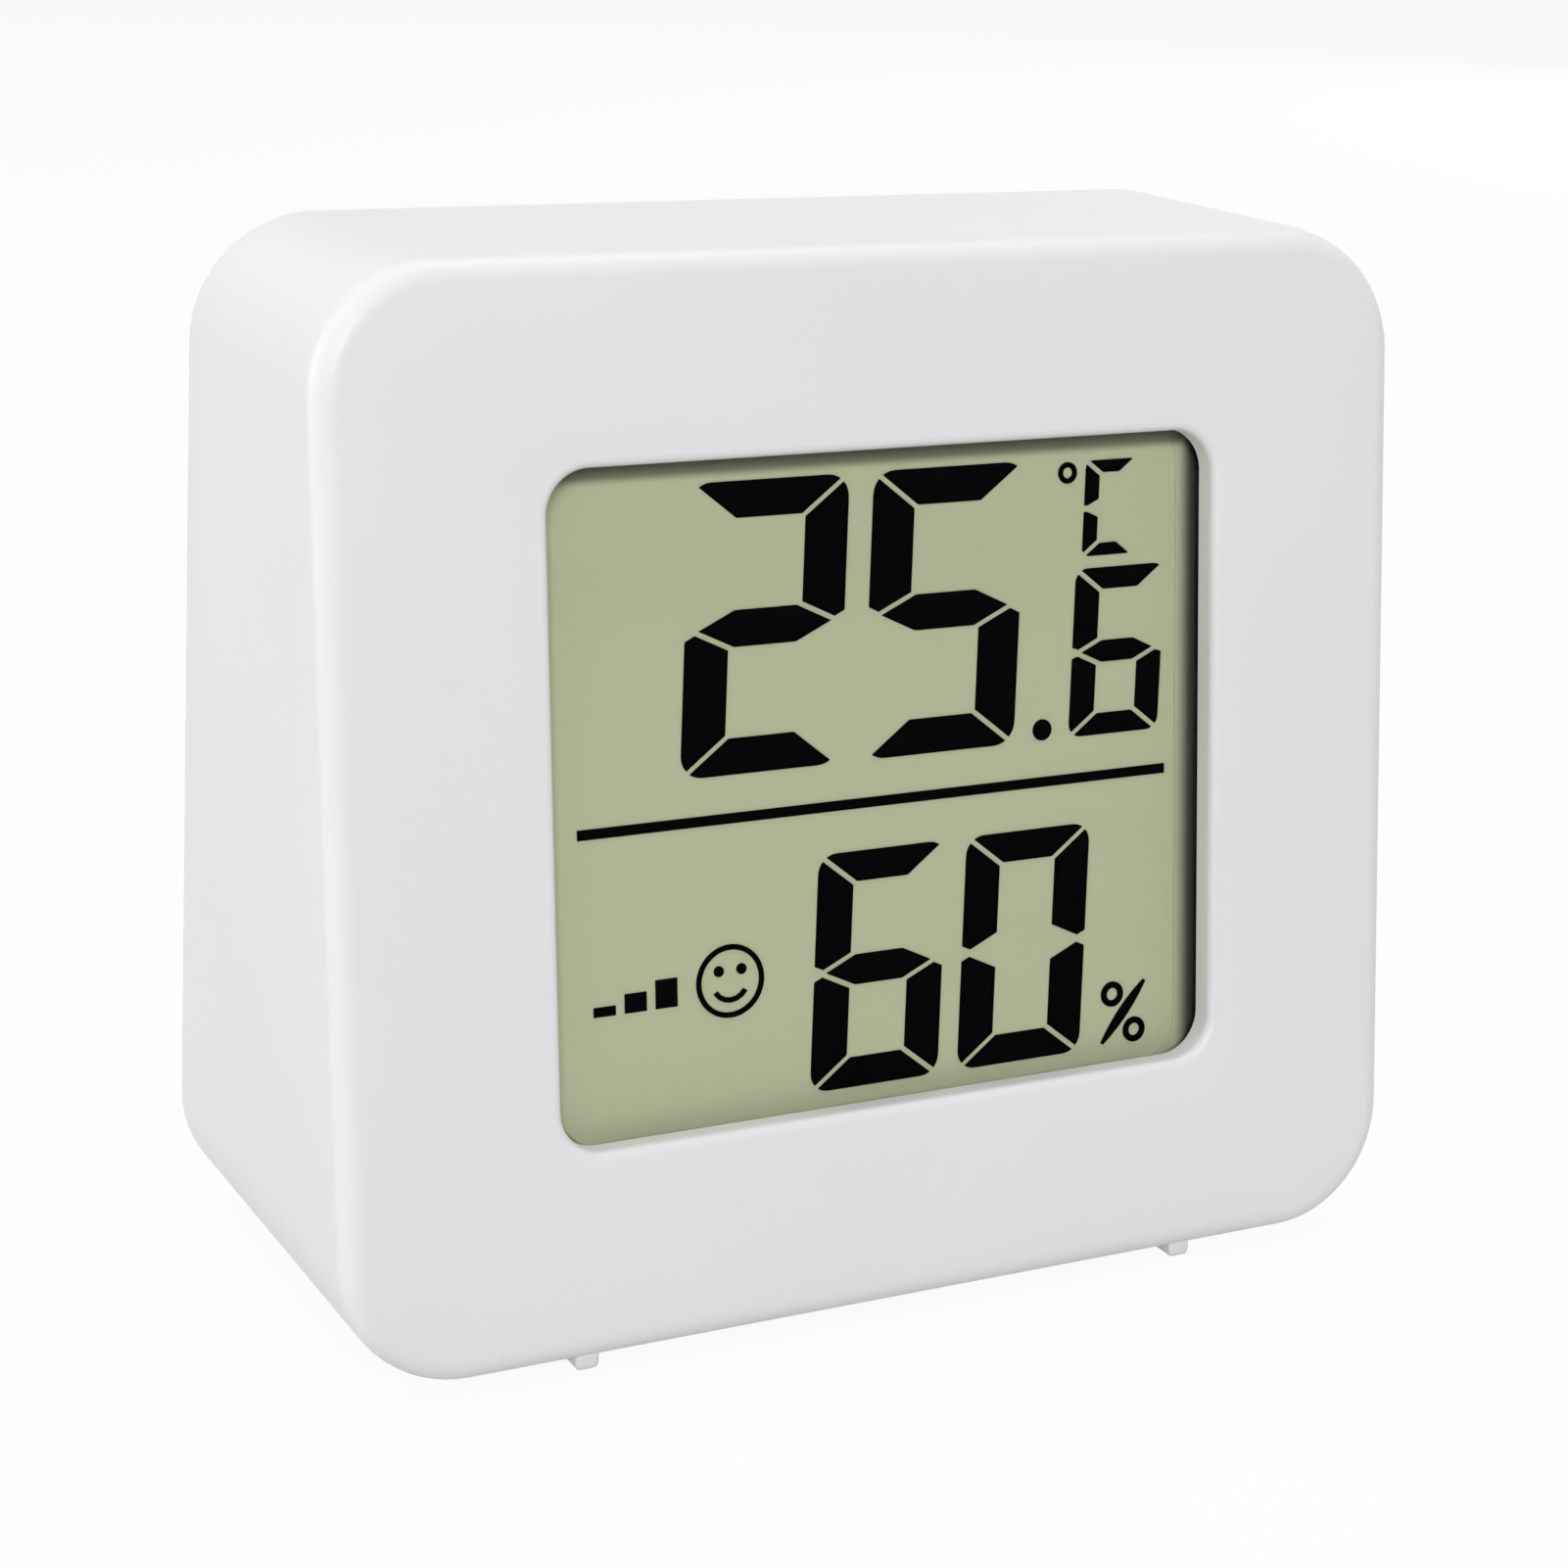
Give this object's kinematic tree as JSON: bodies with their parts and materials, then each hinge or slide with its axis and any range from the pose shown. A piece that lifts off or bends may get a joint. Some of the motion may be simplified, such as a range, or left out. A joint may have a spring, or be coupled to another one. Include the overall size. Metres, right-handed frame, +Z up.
{
  "type": "desktop thermo-hygrometer",
  "caption": "White wedge-shaped desk sensor with a recessed segment display for temperature and humidity, a hinged coin-cell door, a press button and a hanging hole at the rear.",
  "frame": {"origin": "middle of the footprint on the table, under the case", "axes": "+X to the right seen from the front, +Y from the display to the rear, +Z up"},
  "size_m": [0.043, 0.0198, 0.039],
  "materials": {
    "case_white": "fine satin moulding, white",
    "button_grey": "satin, light grey",
    "switch_plastic": "matte",
    "plunger_black": "matte",
    "steel": "bright plated",
    "film_clear": "clear, faintly green",
    "glass_clear": "clear polished",
    "seal_grey": "matte, printed grey",
    "segment_black": "matte, near black",
    "reflector_green": "matte grey-green reflector",
    "frame_white": "matte",
    "zebra_rubber": "matte, striped elastomer",
    "board_green": "solder mask",
    "resin_black": "cured resin",
    "quartz_steel": "drawn can",
    "lead_tin": "tinned wire",
    "capacitor_tan": "fired ceramic",
    "resistor_black": "glazed ceramic",
    "ceramic_white": "fired ceramic",
    "cell_steel": "nickel plated",
    "cell_cap_metal": "nickel plated",
    "gasket_black": "matte",
    "contact_brass": "spring brass"
  },
  "bodies": {
    "case": {"front_housing": "case_white", "rear_cover": "case_white", "switch_body": "switch_plastic", "switch_plate": "steel", "front_polariser": "film_clear", "front_glass": "glass_clear", "crystal_seal": "seal_grey", "display_segments": "segment_black", "rear_glass": "glass_clear", "reflector_film": "reflector_green", "display_frame": "frame_white", "zebra_strip_upper": "zebra_rubber", "zebra_strip_lower": "zebra_rubber", "main_board": "board_green", "chip_resin": "resin_black", "quartz_can": "quartz_steel", "quartz_leads": "lead_tin", "chip_capacitors": "capacitor_tan", "chip_resistors": "resistor_black", "humidity_plate": "ceramic_white", "humidity_leads": "lead_tin", "thermistor_bead": "resin_black", "thermistor_leads": "lead_tin", "cell_can": "cell_steel", "cell_gasket": "gasket_black", "cell_cap": "cell_cap_metal", "positive_contact": "contact_brass", "negative_contact": "contact_brass", "board_screws": "steel", "cover_screws": "steel"},
    "door": {"battery_door": "case_white"},
    "button": {"unit_button": "button_grey"},
    "plunger": {"switch_plunger": "plunger_black"}
  },
  "joints": [
    {"name": "door_hinge", "type": "hinge", "parent": "case", "child": "door", "pos_m": [0, 0.00862, 0.00387], "axis": [-1, 0, 0], "range_deg": [0, 90]},
    {"name": "button_press", "type": "slide", "parent": "case", "child": "button", "axis": [0, -0.9978, -0.0663], "range_m": [0, 0.0004], "stiffness_N_per_m": 2500},
    {"name": "plunger_press", "type": "slide", "parent": "case", "child": "plunger", "axis": [0, -0.9945, 0.1045], "range_m": [0, 0.0004]}
  ],
  "couplings": [
    {"joint": "plunger_press", "follows": "button_press", "ratio": 0.98541}
  ]
}
